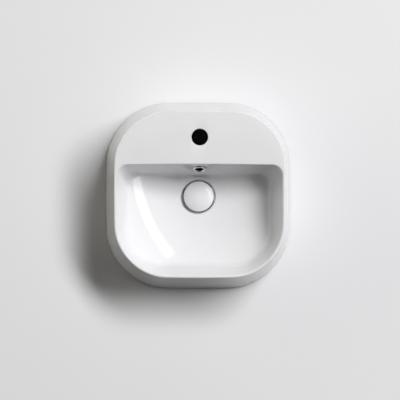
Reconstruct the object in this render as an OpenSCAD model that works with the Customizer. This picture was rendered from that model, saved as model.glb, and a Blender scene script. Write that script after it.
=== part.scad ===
// Countertop basin with a tap deck, an overflow and a push waste.
// Origin: centre of the foot, on the plane that it stands on.
// The bowl's front faces -Y and the tap deck is at +Y.

/* [Outer body] */
// Width of the foot, left to right
base_w = 400; // [380:1:440]
// Depth of the foot, front to back
base_d = 404; // [380:1:440]
// Corner radius of the foot, seen from above
base_corner_r = 127; // [100:1:150]
// Width over the rim
rim_w = 361; // [340:1:378]
// Depth over the rim
rim_d = 352; // [340:1:378]
// Corner radius of the rim, seen from above
rim_corner_r = 107; // [80:1:130]
// Height from the foot to the rim
height = 145; // [142:1:165]
// How far the sides bow outwards, as a share of the half width
bow = 0.03; // [0:0.005:0.06]
// Radius of the rim's two edges
rim_round = 2; // [1:0.1:2.4]
// Radius of the foot's outer edge
foot_round = 3; // [1:0.5:5]

/* [Ceramic walls] */
// Thickness of the rim
rim_wall = 5; // [5:0.5:9]
// Thickness of the skirt
skirt_wall = 8; // [6:0.5:11]
// Thickness of the bowl's walls
bowl_wall = 8; // [6:0.5:10]
// Thickness of the bowl's floor
floor_wall = 9; // [7:0.5:10]
// Thickness of the tap deck
deck_wall = 12; // [9:0.5:16]
// Width of the hollow's crest, where skirt and bowl part below the rim
crest_gap = 3; // [1.5:0.5:6]

/* [Bowl] */
// Distance of the deck's straight front edge behind the centre
deck_edge = 64; // [58:1:74]
// Corner radius at the two ends of that edge
bowl_back_r = 22; // [12:1:34]
// Depth of the bowl at the waste
bowl_depth = 100; // [92:0.5:102]
// Lean of the bowl's side and front walls, in degrees
side_draft = 16.5; // [10:0.5:22]
// Lean of the bowl's back wall, in degrees
back_draft = 12.5; // [8:0.5:13.5]
// Reach of the curve at the foot of the walls
foot_curve = 11; // [4:0.5:16]
// Fall of the floor beside the waste, in degrees
floor_fall = 3; // [1:0.5:5]
// Radius of the floor's dish
dish_r = 270; // [220:5:500]

/* [Tap hole] */
// Radius of the tap hole
tap_r = 17.5; // [15:0.5:19]
// Distance of the tap hole behind the centre
tap_y = 121; // [118:1:132]
// Bevel of the tap hole's edge
tap_bevel = 0.8; // [0.3:0.1:1.5]

/* [Overflow] */
// Depth of the overflow's centre below the rim, on the back wall
overflow_drop = 33; // [30:0.5:35]
// Upward tilt of the overflow, in degrees
overflow_tilt = 25; // [21:1:27]
// Outer radius of the chrome collar
collar_r = 14.5; // [13.5:0.1:15.5]
// Height of the chrome collar above its seat
collar_h = 8.5; // [7:0.5:9.5]
// Radius of the overflow's mouth
mouth_r = 8; // [7.4:0.1:9]
// Wall of the collar's spigot, which plugs into the sleeve
spigot_wall = 1.3; // [1:0.1:1.5]
// Wall of the black sleeve that grips the ceramic
sleeve_wall = 1.2; // [0.8:0.1:1.5]
// Length of the sleeve
sleeve_l = 6; // [5:0.5:7]
// Width of the channel behind the bowl
channel_w = 42; // [34:1:60]
// Depth of the channel, front to back
channel_gap = 13; // [10:0.5:16]
// Wall of the channel
channel_wall = 6; // [4:0.5:8]

/* [Waste] */
// Distance of the waste in front of the centre
waste_front = 3; // [0:0.5:5]
// Radius of the hole through the ceramic
waste_hole_r = 23; // [22.5:0.1:24]
// Radius of the boss under the floor
boss_r = 40; // [38:0.5:46]
// Depth of the boss below the flange's seat
boss_h = 19; // [18.5:0.5:20]
// Depth of the flange's seat below the floor
seat_sink = 2; // [1:0.1:2.5]
// Outer radius of the waste's flange
flange_r = 35.5; // [34.5:0.1:36]
// Outer radius of the waste's threaded tail, G 1 1/4
tail_r = 20.955; // [20.5:0.001:21.4]
// Wall of the tail
tail_wall = 2.4; // [2:0.1:3]
// Length of the tail below the back nut
tail_below = 12; // [9:0.5:12.5]
// Width of the groove between the back nut's thread and the trap's
tail_groove = 1.5; // [1:0.1:2]
// Radius of the gallery that takes the overflow into the waste
gallery_r = 32; // [29:0.5:34]
// Height of the gallery
gallery_h = 7; // [5:0.5:7.5]
// Ceramic below the gallery
gallery_floor = 4; // [3:0.5:4.5]
// Thickness of the gasket under the flange
flange_gasket_h = 1.5; // [1:0.1:2]
// Thickness of the gasket under the boss
lower_gasket_h = 3; // [2:0.1:3.5]
// Thickness of the slip washer
slip_washer_h = 1; // [0.8:0.1:1.5]
// Height of the back nut
back_nut_h = 7; // [5:0.5:7.5]
// Width of the back nut across its flats
back_nut_af = 52; // [48:1:56]

/* [Push cap] */
// Radius of the ceramic cap
cap_r = 32.2; // [30:0.1:33]
// Height of the cap's straight edge
cap_edge_h = 3.5; // [2.5:0.1:5]
// Radius of the cap's dome
cap_dome_r = 78; // [60:1:140]
// Rounding of the cap's upper edge
cap_round = 1.6; // [0.8:0.1:2.2]
// Rise of the cap when it clicks open
cap_travel = 8; // [6:0.5:9]
// Thickness of the carrier's plate
carrier_h = 1.2; // [1:0.1:2]
// Wall of the carrier's rim, round the cap's foot
carrier_rim = 1; // [0.6:0.1:1.4]
// Outer radius of the cap's seal
seal_r = 26; // [24.5:0.1:27]
// Radius of the plunger, M6
plunger_r = 3; // [2.5:0.1:3.2]
// Running clearance of the plunger
run_gap = 0.05; // [0.02:0.01:0.08]

/* [Click cartridge] */
// Radius of the cartridge's bore
cartridge_bore_r = 5.6; // [5.4:0.1:5.9]
// Outer radius of the cartridge's thread, M16
cartridge_r = 7.95; // [7.6:0.05:8.2]
// Height of the waste's cross bar
bar_h = 8; // [5:0.5:9]
// Number of the cross bar's arms
bar_arms = 3; // [2:1:5]
// Number of teeth on the index ring
index_teeth = 8; // [4:1:8]
// Turns of the spring
spring_turns = 6; // [4:1:7]
// Radius of the spring's wire
wire_r = 0.45; // [0.3:0.05:0.5]

/* [Hidden] */
$fn = 96;
// A cut runs this far past the face that it opens
over = 1;
// Pieces screwed or dropped into each other keep this much air
play = 0.1;

// Levels of the bowl and of the waste's stack, from the foot up
floor_z = height - bowl_depth;
seat_z = floor_z - seat_sink;
boss_z = seat_z - boss_h;
flange_z = seat_z + flange_gasket_h;
gasket_z = boss_z - lower_gasket_h;
washer_z = gasket_z - slip_washer_h;
nut_z = washer_z - back_nut_h;
tail_z = nut_z - tail_below;
deck_under_z = height - deck_wall;
gallery_z = boss_z + gallery_floor;
// The boss and the casing run up into the bowl's floor as far as this
boss_roof_z = floor_z - floor_wall / 2;
// Overflow: the seat lies deep enough for its lower edge to meet the wall, and the hole runs past the sleeve
overflow_sink = collar_r * max(0, sin(overflow_tilt - back_draft)) + 0.3;
spigot_r = mouth_r + spigot_wall;
sleeve_r = spigot_r + play + sleeve_wall;
mouth_depth = sleeve_l + 3;
// Top of the overflow's channel, and height of its bend
channel_top_z = height - overflow_drop + 6.5;
channel_bend = 10;
// Waste: the flange's rim and dish, the throat's rounding, the slots' distance from the gallery's two ends
flange_crest = 3.4;
flange_dish = 1.6;
throat_r = 2;
slot_rise = 0.5;
washer_r = boss_r - 8;
// Levels of the pushed-down cap, from the flange up
flange_crown_z = flange_z + 2.4;
carrier_z = flange_crown_z + 1.3;
cap_z = carrier_z + carrier_h;
stem_top_z = carrier_z - 0.4;
carrier_boss_z = carrier_z - 5;
// Carrier's boss and the pad that the seal sits round, its lip round the cap, and the locknut below
carrier_boss_r = 6;
pad_h = 1.4;
carrier_lip = 1.2;
seal_inner_r = 21;
seal_h = 1.8;
locknut_h = 3.2;
locknut_af = 10;
// Levels of the click cartridge, from its foot up
bar_z = nut_z - 2;
housing_z = bar_z - 6;
spring_z = housing_z + 2;
spring_h = 9;
plunger_foot_z = spring_z + spring_h;
plunger_foot_h = 1.9;
index_z = plunger_foot_z + 2;
index_h = 4.7;
guide_z = index_z + index_h + cap_travel + 0.3;
guide_depth = 4;
guide_top_z = guide_z + 7;
// Cartridge: its hexagon, the neck above it, and the height of the teeth
housing_hex_h = 3.5;
housing_af = 20;
neck_r = cartridge_r - 0.75;
tooth_h = 1.4;

// Half sizes of the rim's two outlines
rim_hw = rim_w / 2;
rim_hd = rim_d / 2;
bowl_hw = rim_hw - rim_wall;
bowl_front = -rim_hd + rim_wall;
bowl_front_r = rim_corner_r - rim_wall;
waste_y = -waste_front;
// The floor is flat from the waste out to here
flat_r = flange_r + 3;

// Steps of the outline: each corner is an arc, and each side a run that is divided again because it bows
corner_steps = 10;
run_steps = [10, 4, 10, 4];
// Stations go round counter-clockwise from the right-hand end of the back right corner.
// Each is [corner, share of the corner's arc, share of the run that follows it].
stations = [
    for (q = [0 : 3])
        each concat(
            [for (k = [0 : corner_steps]) [q, k / corner_steps, 0]],
            [for (k = [1 : run_steps[q] - 1]) [q, 1, crowd(k / run_steps[q])]]
        )
];

// Crowds a run's points towards its middle, where the waste is near
function crowd(t) = 0.5 + 0.5 * sign(t - 0.5) * pow(abs(2 * t - 1), 1.8);
function mix(a, b, t) = a + (b - a) * t;
function unit(v) = v / norm(v);
function pick(list, n) = [for (item = list) item[n]];

// One point of a rounded outline with its own radius at the back corners and at the front ones
function corner_point(q, share, hw, back, front, back_r, front_r) =
    let (r = q < 2 ? back_r : front_r, a = 90 * (q + share))
    [(q == 0 || q == 3 ? 1 : -1) * (hw - r), q < 2 ? back - r : front + r] + r * [cos(a), sin(a)];
function outline_point(s, hw, back, front, back_r, front_r) =
    let (p = corner_point(s[0], s[1], hw, back, front, back_r, front_r))
    s[2] == 0 ? p : mix(p, corner_point((s[0] + 1) % 4, 0, hw, back, front, back_r, front_r), s[2]);
// Bows the sides: a point moves in with the square of its distance along the side
function bowed(p, hw, hd) = [
    p[0] * (1 - bow * pow(p[1] / hd, 2)),
    p[1] * (1 - bow * pow(p[0] / hw, 2))
];

// The outer wall leans in steadily from the foot to the rim
function lean(z) = (z - foot_round) / (height - rim_round - foot_round);
function outer_hw(z) = mix(base_w, rim_w, lean(z)) / 2;
function outer_hd(z) = mix(base_d, rim_d, lean(z)) / 2;
function outer_r(z) = mix(base_corner_r, rim_corner_r, lean(z));
function outer_xy(s, z, inset) =
    let (hw = outer_hw(z), hd = outer_hd(z), r = outer_r(z) - inset)
    bowed(outline_point(s, hw - inset, hd - inset, inset - hd, r, r), hw, hd);

// The bowl's walls lean in from its outline at the rim; outset gives the same wall's outside
function bowl_sizes(depth, outset) =
    let (side = depth * tan(side_draft))
    [
        bowl_hw + outset - side, deck_edge + outset - depth * tan(back_draft), bowl_front - outset + side,
        bowl_back_r + outset, bowl_front_r + outset - side
    ];
function bowl_xy(s, depth, outset) =
    let (b = bowl_sizes(depth, outset))
    bowed(outline_point(s, b[0], b[1], b[2], b[3], b[4]), rim_hw, rim_hd);
function back_wall_y(z) = deck_edge - (height - z) * tan(back_draft);

// The floor falls to the waste: a steady slope and the curve of a shallow dish
function dish_z(p, drop) =
    let (run = max(0, norm([p[0], p[1] - waste_y]) - flat_r))
    floor_z - drop + run * tan(floor_fall) + run * run / (2 * dish_r);
// Depth at which the wall above one station meets the floor
function foot_depth(s, outset, drop, depth = bowl_depth, rounds = 6) =
    rounds == 0 ? depth
    : foot_depth(s, outset, drop, height - dish_z(bowl_xy(s, depth, outset), drop), rounds - 1);
// One station's line from the rim to the waste: down the wall, round the curve at its foot, along the floor
function bowl_line(s, outset, drop, start) =
    let (
        deep = foot_depth(s, outset, drop),
        foot_xy = bowl_xy(s, deep, outset),
        foot = [foot_xy[0], foot_xy[1], height - deep],
        inward = -unit([foot_xy[0], foot_xy[1] - waste_y]),
        way = norm([foot_xy[0], foot_xy[1] - waste_y]) - flat_r,
        reach = min(foot_curve, 0.85 * way),
        high_depth = deep - reach,
        high_xy = bowl_xy(s, high_depth, outset),
        high = [high_xy[0], high_xy[1], height - high_depth],
        low_xy = foot_xy + reach * inward,
        low = [low_xy[0], low_xy[1], dish_z(low_xy, drop)],
        end_xy = foot_xy + way * inward,
        mid_depth = (start + high_depth) / 2,
        mid_xy = bowl_xy(s, mid_depth, outset)
    )
    [
        [mid_xy[0], mid_xy[1], height - mid_depth],
        for (t = [0 : 0.2 : 1.01]) mix(mix(high, foot, t), mix(foot, low, t), t),
        for (t = [0.25 : 0.25 : 1.01]) let (p = mix(low_xy, end_xy, t)) [p[0], p[1], dish_z(p, drop)]
    ];

// Distance of a point outside a rounded outline, which is negative inside it
function outline_gap(p, hw, back, front, back_r, front_r) =
    let (
        mid = (back + front) / 2,
        r = p[1] > mid ? back_r : front_r,
        q = [abs(p[0]) - hw + r, abs(p[1] - mid) - (back - front) / 2 + r]
    )
    norm([max(q[0], 0), max(q[1], 0)]) + min(max(q[0], q[1]), 0) - r;
function skirt_gap(p, z) =
    let (hw = outer_hw(z) - skirt_wall, hd = outer_hd(z) - skirt_wall, r = outer_r(z) - skirt_wall)
    -outline_gap(p, hw, hd, -hd, r, r);
function bowl_gap(p, z) =
    let (b = bowl_sizes(height - z, bowl_wall)) outline_gap(p, b[0], b[1], b[2], b[3], b[4]);
function crest_room(s, z, on_bowl) =
    on_bowl ? skirt_gap(bowl_xy(s, height - z, bowl_wall), z) : bowl_gap(outer_xy(s, z, skirt_wall), z);
// Highest level at which the hollow is as wide as its crest, found by halving the range again and again
function crest_z(s, on_bowl, low = floor_z, high = deck_under_z, rounds = 9) =
    crest_room(s, high, on_bowl) >= crest_gap ? high
    : rounds == 0 ? low
    : let (z = (low + high) / 2)
        crest_room(s, z, on_bowl) >= crest_gap ? crest_z(s, on_bowl, z, high, rounds - 1)
        : crest_z(s, on_bowl, low, z, rounds - 1);
// The hollow's crest is a narrow band, from the skirt's inside to the bowl's outside
function crest_ring(on_bowl) = [
    for (s = stations)
        let (
            z = crest_z(s, on_bowl),
            p = on_bowl ? bowl_xy(s, height - z, bowl_wall) : outer_xy(s, z, skirt_wall)
        )
        [p[0], p[1], z]
];

// Rings of the ceramic body, from the waste up the bowl, over the rim, down the skirt and back underneath
bowl_lines = [for (s = stations) bowl_line(s, 0, 0, rim_round)];
under_lines = [
    for (s = stations) bowl_line(s, bowl_wall, floor_wall, height - crest_z(s, true))
];
line_steps = len(bowl_lines[0]);
round_steps = 3;
rings = [
    for (k = [line_steps - 1 : -1 : 0]) pick(bowl_lines, k),
    for (k = [round_steps : -1 : 0]) rim_ring(90 * k / round_steps, true),
    for (k = [0 : round_steps]) rim_ring(90 * k / round_steps, false),
    for (k = [0 : round_steps]) foot_ring(90 * k / round_steps),
    [for (s = stations) let (p = outer_xy(s, 0, skirt_wall - 1)) [p[0], p[1], 0]],
    [for (s = stations) let (p = outer_xy(s, 1, skirt_wall)) [p[0], p[1], 1]],
    crest_ring(false),
    crest_ring(true),
    for (k = [0 : line_steps - 1]) pick(under_lines, k)
];
// A ring on the rounded rim: angle 0 is on top, and 90 is where the wall begins
function rim_ring(angle, inner) =
    let (inset = rim_round * (1 - sin(angle)), z = height - rim_round * (1 - cos(angle)))
    [
        for (s = stations)
            let (p = inner ? bowl_xy(s, 0, inset) : outer_xy(s, height - rim_round, inset))
            [p[0], p[1], z]
    ];
// A ring on the rounded foot: angle 0 is where the wall ends, and 90 is on the ground
function foot_ring(angle) =
    let (inset = foot_round * (1 - cos(angle)), z = foot_round * (1 - sin(angle)))
    [for (s = stations) let (p = outer_xy(s, foot_round, inset)) [p[0], p[1], z]];

// Closes a stack of rings into one solid
module skin(rings) {
    n = len(rings[0]);
    last = len(rings) - 1;
    faces = [
        [for (i = [n - 1 : -1 : 0]) i],
        for (k = [0 : last - 1], i = [0 : n - 1])
            let (j = (i + 1) % n)
            each [[k * n + i, k * n + j, (k + 1) * n + j], [k * n + i, (k + 1) * n + j, (k + 1) * n + i]],
        [for (i = [0 : n - 1]) last * n + i]
    ];
    polyhedron([for (ring = rings) each ring], faces, convexity = 6);
}

// Places children on the overflow's axis: +Z points out of its mouth, and 0 is the collar's seat
module at_overflow() {
    z = height - overflow_drop;
    translate([0, back_wall_y(z) + overflow_sink * cos(back_draft), z])
        rotate([90 - overflow_tilt, 0, 0])
            children();
}

module at_waste(z) {
    translate([0, waste_y, z]) children();
}

// A ring with square edges, from one radius to another
module ring(inner_r, outer_r, h) {
    rotate_extrude() translate([inner_r, 0]) square([outer_r - inner_r, h]);
}

// A hexagon nut, measured across its flats, with its bore
module hex_nut(af, bore_r, h) {
    difference() {
        cylinder(r = af / sqrt(3), h = h, $fn = 6);
        translate([0, 0, -over]) cylinder(r = bore_r, h = h + 2 * over);
    }
}

// Side view of the overflow channel: down behind the back wall, then forward under the floor to the gallery.
// Its front face lies outset from the bowl's wall, and its back face lies deep behind that.
module channel_side(outset, deep, low_z, roof_z, top_z) {
    bend_z = gallery_z + channel_bend;
    near_y = waste_y + (waste_hole_r + gallery_r) / 2;
    polygon([
        [back_wall_y(top_z) + outset, top_z],
        [back_wall_y(top_z) + outset + deep, top_z],
        [back_wall_y(bend_z) + outset + deep, bend_z],
        [back_wall_y(gallery_z) + outset + deep - channel_bend, low_z],
        [near_y, low_z],
        [near_y, roof_z],
        [back_wall_y(roof_z) + outset, roof_z]
    ]);
}

// Makes a side view into a block that runs across the basin
module across(w) {
    rotate([90, 0, 90]) linear_extrude(w, center = true) children();
}

// Hole behind the overflow's recess, from the seat into the channel
module mouth_hole() {
    at_overflow() translate([0, 0, -mouth_depth]) cylinder(r = sleeve_r + play, h = mouth_depth + over);
}

module basin() {
    color("white") difference() {
        union() {
            skin(rings);
            at_waste(boss_z) cylinder(r = boss_r, h = boss_roof_z - boss_z);
        }
        // Gallery round the waste, and the slot through which the overflow's channel enters it
        at_waste(gallery_z) {
            cylinder(r = gallery_r, h = gallery_h);
            translate([-channel_w / 2, 0, 0]) cube([channel_w, boss_r + over, gallery_h]);
        }
        // Overflow: the recess that the collar sits in and the hole behind it
        at_overflow() cylinder(r = collar_r + 3 * play, h = 3 * collar_h);
        mouth_hole();
        // Waste hole and the flange's seat
        at_waste(boss_z - over) cylinder(r = waste_hole_r, h = floor_z - boss_z + 2 * over);
        at_waste(seat_z) cylinder(r = flange_r + over, h = seat_sink + over);
        // Tap hole with a bevelled edge
        translate([0, tap_y, deck_under_z - over]) cylinder(r = tap_r, h = deck_wall + 2 * over);
        translate([0, tap_y, height - tap_bevel])
            cylinder(r1 = tap_r, r2 = tap_r + 2 * tap_bevel, h = 2 * tap_bevel);
    }
}

// Ceramic wall of the overflow's channel, cast by itself and stuck behind the bowl and under its floor
// before firing. The bowl's own wall closes the channel in front.
module overflow_casing() {
    casing_front = bowl_wall / 2;
    casing_back = bowl_wall + channel_gap + channel_wall;
    color("white") difference() {
        across(channel_w + 2 * channel_wall)
            channel_side(casing_front, casing_back - casing_front, boss_z, boss_roof_z, deck_under_z + over);
        across(channel_w)
            channel_side(0, bowl_wall + channel_gap, gallery_z, boss_roof_z + over, channel_top_z);
        skin(rings);
        at_waste(boss_z - over) cylinder(r = boss_r, h = boss_roof_z - boss_z + 2 * over);
        mouth_hole();
    }
}

// Bulging chrome ring with a spigot behind it
module overflow_collar() {
    lip = (collar_r - mouth_r) / 2;
    spigot_l = sleeve_l - 1.5;
    color("silver") at_overflow() rotate_extrude() {
        translate([mouth_r, 0]) square([collar_r - mouth_r, collar_h - lip]);
        translate([mouth_r + lip, collar_h - lip]) circle(r = lip, $fn = 48);
        translate([mouth_r, -spigot_l]) square([spigot_wall, spigot_l + over]);
    }
}

// Barbs on its outside grip the hole in the ceramic
module overflow_sleeve() {
    barb = 0.25;
    bore_r = spigot_r + play;
    step = sleeve_l / 3;
    color("black") at_overflow() rotate_extrude() polygon([
        [bore_r, 0], [sleeve_r - barb, 0],
        for (k = [0 : 2]) each [[sleeve_r, -step * (k + 0.3)], [sleeve_r - barb, -step * (k + 0.8)]],
        [sleeve_r - barb, -sleeve_l], [bore_r, -sleeve_l]
    ]);
}

// The dome and the rounded edge meet where their slopes are the same
module ceramic_cap() {
    foot_bevel = 0.6;
    edge_r = cap_r - cap_round;
    meet = acos(edge_r / (cap_dome_r - cap_round));
    dome_z = cap_edge_h - (cap_dome_r - cap_round) * sin(meet);
    step = (90 - meet) / 12;
    color("white") at_waste(cap_z) rotate_extrude() polygon([
        [0, 0], [cap_r - foot_bevel, 0], [cap_r, foot_bevel],
        for (a = [0 : 0.25 : 1]) [edge_r + cap_round * cos(meet * a), cap_edge_h + cap_round * sin(meet * a)],
        for (a = [meet + step : step : 90 - step / 2]) [cap_dome_r * cos(a), cap_dome_r * sin(a) + dome_z],
        [0, dome_z + cap_dome_r]
    ]);
}

// Shallow dish under the ceramic cap, with a low rim round it and a boss that the plunger screws into
module cap_carrier() {
    inner_r = cap_r + play;
    outer_r = inner_r + carrier_rim;
    stem_r = plunger_r + run_gap;
    pad_z = carrier_z - pad_h;
    bevel = 0.6;
    color("silver") at_waste(0) rotate_extrude() polygon([
        [stem_r, carrier_boss_z], [carrier_boss_r, carrier_boss_z], [carrier_boss_r, pad_z],
        [seal_inner_r - play, pad_z], [seal_inner_r - play, carrier_z], [outer_r - bevel, carrier_z],
        [outer_r, carrier_z + bevel], [outer_r, cap_z + carrier_lip], [inner_r, cap_z + carrier_lip],
        [inner_r, cap_z], [0, cap_z], [0, stem_top_z + 2 * play], [stem_r, stem_top_z + 2 * play]
    ]);
}

// Its lower edge comes down on the flange when the cap is pushed shut
module cap_seal() {
    soft = 0.4;
    low_z = carrier_z - seal_h;
    color("dimgray") at_waste(0) rotate_extrude() polygon([
        [seal_inner_r, low_z + soft], [seal_inner_r + soft, low_z], [seal_r - soft, low_z],
        [seal_r, low_z + soft], [seal_r, carrier_z - soft / 2], [seal_r - soft / 2, carrier_z],
        [seal_inner_r, carrier_z]
    ]);
}

// Pilot inside the spring, foot on top of it, and the stem that carries the cap
module plunger() {
    pilot_r = 2.5;
    pilot_z = spring_z + 3;
    stem_z = plunger_foot_z + plunger_foot_h;
    color("goldenrod") at_waste(0) {
        translate([0, 0, pilot_z]) cylinder(r = pilot_r, h = plunger_foot_z - pilot_z);
        translate([0, 0, plunger_foot_z]) cylinder(r = cartridge_bore_r - 4 * play, h = plunger_foot_h);
        translate([0, 0, stem_z]) cylinder(r = plunger_r, h = stem_top_z - stem_z);
    }
}

module stem_locknut() {
    color("silver") at_waste(carrier_boss_z - locknut_h) hex_nut(locknut_af, plunger_r + run_gap, locknut_h);
}

// Sloping notches round a ring's end leave a crown of teeth that point up
module tooth_notches(r) {
    slope = 1.2 * PI * r / index_teeth;
    for (k = [0 : index_teeth - 1])
        rotate([0, 0, 360 * k / index_teeth])
            translate([0, 0, -tooth_h])
                rotate([90, 0, 90])
                    linear_extrude(r)
                        polygon([[0, 0], [0, 2 * tooth_h], [-slope, 2 * tooth_h]]);
}

module index_ring() {
    color("goldenrod") at_waste(index_z) difference() {
        ring(plunger_r + run_gap, cartridge_bore_r - 3 * play, index_h);
        translate([0, 0, index_h]) tooth_notches(cartridge_bore_r + over);
    }
}

// A helix of round wire as one tube: each ring of the tube stands upright, square to the turn
module click_spring() {
    turn_steps = 12;
    sides = 8;
    r = cartridge_bore_r - wire_r - 5 * play;
    rise = spring_h - 2 * wire_r - play;
    count = spring_turns * turn_steps;
    tube = [
        for (k = [count : -1 : 0])
            let (a = 360 * k / turn_steps, z = rise * k / count)
            [
                for (j = [0 : sides - 1])
                    let (b = 360 * j / sides)
                    [(r + wire_r * cos(b)) * cos(a), (r + wire_r * cos(b)) * sin(a), z + wire_r * sin(b)]
            ]
    ];
    color("lightgray") at_waste(spring_z + wire_r + play / 2) skin(tube);
}

// Barrel that holds the spring: threaded foot in the cross bar, hexagon on top of the bar, slim neck above
module cartridge_housing() {
    hex_z = bar_z + bar_h;
    neck_z = hex_z + housing_hex_h;
    drain_r = 1.2;
    color("goldenrod") at_waste(0) difference() {
        union() {
            translate([0, 0, housing_z]) cylinder(r = cartridge_r, h = hex_z - housing_z);
            translate([0, 0, hex_z]) cylinder(r = housing_af / sqrt(3), h = housing_hex_h, $fn = 6);
            translate([0, 0, neck_z]) cylinder(r = neck_r, h = guide_z + guide_depth - neck_z);
        }
        translate([0, 0, spring_z]) cylinder(r = cartridge_bore_r, h = guide_top_z - spring_z);
        translate([0, 0, housing_z - over]) cylinder(r = drain_r, h = spring_z - housing_z + 2 * over);
    }
}

// Guide that closes the barrel; the teeth on its lower end turn the index ring a step at each click
module cartridge_collar() {
    bore = plunger_r + run_gap;
    color("goldenrod") at_waste(guide_z) difference() {
        union() {
            ring(bore, cartridge_bore_r - run_gap, guide_depth + over);
            translate([0, 0, guide_depth]) ring(bore, neck_r, guide_top_z - guide_z - guide_depth);
        }
        mirror([0, 0, 1]) tooth_notches(cartridge_bore_r + over);
    }
}

// Flange with a rounded rim and a shallow dish, slotted tube, cross bar and threaded tail
module waste_body() {
    bore = tail_r - tail_wall;
    relief = 0.5;
    bevel = 0.8;
    edge_h = 0.7;
    crest_r = flange_r - flange_crest;
    throat_z = flange_crown_z - flange_dish;
    hub_r = cartridge_r + 3.5;
    arm_w = 3;
    arm_step = 0.5;
    slot_w = 18;
    color("silver") at_waste(0) difference() {
        union() {
            rotate_extrude() polygon([
                [bore + bevel / 2, tail_z], [tail_r - bevel, tail_z], [tail_r, tail_z + bevel],
                [tail_r, nut_z - tail_groove], [tail_r - relief, nut_z - tail_groove + relief / 2],
                [tail_r - relief, nut_z - relief / 2], [tail_r, nut_z],
                [tail_r, flange_z], [flange_r - edge_h / 2, flange_z], [flange_r, flange_z + edge_h / 2],
                for (a = [0 : 18 : 90])
                    [mix(crest_r, flange_r, cos(a)), mix(flange_z + edge_h, flange_crown_z, sin(a))],
                for (t = [0.2 : 0.2 : 1.01])
                    [mix(crest_r, bore + throat_r, t), flange_crown_z - flange_dish * t * t],
                for (a = [22.5 : 22.5 : 90])
                    [bore + throat_r * (1 - sin(a)), throat_z - throat_r * (1 - cos(a))],
                [bore, tail_z + bevel / 2]
            ]);
            translate([0, 0, bar_z]) cylinder(r = hub_r, h = bar_h);
            for (k = [0 : bar_arms - 1])
                rotate([0, 0, 90 + 360 * k / bar_arms])
                    translate([hub_r - over, -arm_w / 2, bar_z + arm_step])
                        cube([bore + over - hub_r + over, arm_w, bar_h - 2 * arm_step]);
        }
        translate([0, 0, bar_z - over]) cylinder(r = cartridge_r + run_gap, h = bar_h + 2 * over);
        // Slots that let the overflow in from the gallery
        for (k = [0 : 3])
            rotate([0, 0, 45 + 90 * k])
                translate([0, -slot_w / 2, gallery_z + slot_rise])
                    cube([tail_r + over, slot_w, gallery_h - 2 * slot_rise]);
    }
}

module flange_gasket() {
    color("dimgray") at_waste(seat_z) ring(waste_hole_r + 5 * play, flange_r - 2 * over, flange_gasket_h);
}

module lower_gasket() {
    color("dimgray") at_waste(gasket_z) ring(tail_r + 3 * play, washer_r + over, lower_gasket_h);
}

module slip_washer() {
    color("whitesmoke") at_waste(washer_z) ring(tail_r + 3 * play, washer_r, slip_washer_h);
}

module back_nut() {
    color("goldenrod") at_waste(nut_z) hex_nut(back_nut_af, tail_r + play, back_nut_h);
}

basin();
overflow_casing();
overflow_collar();
overflow_sleeve();
ceramic_cap();
cap_carrier();
cap_seal();
plunger();
stem_locknut();
index_ring();
click_spring();
cartridge_housing();
cartridge_collar();
waste_body();
flange_gasket();
lower_gasket();
slip_washer();
back_nut();
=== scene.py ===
"""Dresses the countertop basin: glazed body, chrome overflow and push waste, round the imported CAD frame."""

import math

import bpy
import numpy as np
from mathutils import Matrix, Vector


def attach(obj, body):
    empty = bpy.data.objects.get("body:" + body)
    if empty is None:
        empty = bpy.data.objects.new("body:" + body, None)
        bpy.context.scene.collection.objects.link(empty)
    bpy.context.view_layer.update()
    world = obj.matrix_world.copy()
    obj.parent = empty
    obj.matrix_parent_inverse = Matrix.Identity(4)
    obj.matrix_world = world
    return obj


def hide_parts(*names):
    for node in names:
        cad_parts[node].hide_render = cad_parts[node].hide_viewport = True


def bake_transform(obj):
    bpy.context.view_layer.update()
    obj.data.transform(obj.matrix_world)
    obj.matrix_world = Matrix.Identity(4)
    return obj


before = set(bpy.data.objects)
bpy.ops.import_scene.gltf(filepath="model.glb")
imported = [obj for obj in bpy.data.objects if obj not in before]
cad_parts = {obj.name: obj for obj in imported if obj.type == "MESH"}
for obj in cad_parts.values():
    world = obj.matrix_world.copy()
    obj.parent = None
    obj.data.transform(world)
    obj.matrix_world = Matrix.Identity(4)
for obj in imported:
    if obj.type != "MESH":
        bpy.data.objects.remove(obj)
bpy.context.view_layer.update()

# Sizes in millimetres, as in the part's source. The foot's centre is the origin and the tap deck is at +Y.
BASE = (400, 404, 127)
RIM = (361, 352, 107)
HEIGHT = 145
BOW = 0.03
RIM_ROUND = 2
FOOT_ROUND = 3
RIM_WALL, SKIRT_WALL, BOWL_WALL, FLOOR_WALL, DECK_WALL = 5, 8, 8, 9, 12
CREST_GAP = 3
DECK_EDGE = 64
BOWL_BACK_R = 22
BOWL_DEPTH = 100
SIDE_DRAFT, BACK_DRAFT = math.tan(math.radians(16.5)), math.tan(math.radians(12.5))
FOOT_CURVE = 11
FLOOR_FALL = math.tan(math.radians(3))
DISH_R = 270
TAP_Y, TAP_R = 121, 17.5
WASTE_Y = -3
FLANGE_R, TAIL_R, TAIL_BORE = 35.5, 20.955, 18.555
FLOOR_Z = HEIGHT - BOWL_DEPTH
SEAT_Z = FLOOR_Z - 2
BOSS_Z = SEAT_Z - 19
BOSS_R = 40
GALLERY_Z, GALLERY_H, GALLERY_R = BOSS_Z + 4, 7, 32
DECK_UNDER_Z = HEIGHT - DECK_WALL
FLAT_R = FLANGE_R + 3
BOWL_HW, BOWL_FRONT, BOWL_FRONT_R = RIM[0] / 2 - RIM_WALL, RIM_WALL - RIM[1] / 2, RIM[2] - RIM_WALL
CHANNEL_W, CHANNEL_GAP, CHANNEL_WALL, CHANNEL_BEND, CHANNEL_RISE = 42, 12, 6, 10, 6.5
OVERFLOW_Z = HEIGHT - 33
OVERFLOW_TILT = math.radians(25)
COLLAR_R, COLLAR_H, MOUTH_R, SPIGOT_R, SPIGOT_L = 14.5, 8.5, 8, 9.3, 4.5
SLEEVE_R, SLEEVE_L = 10.6, 6
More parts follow.
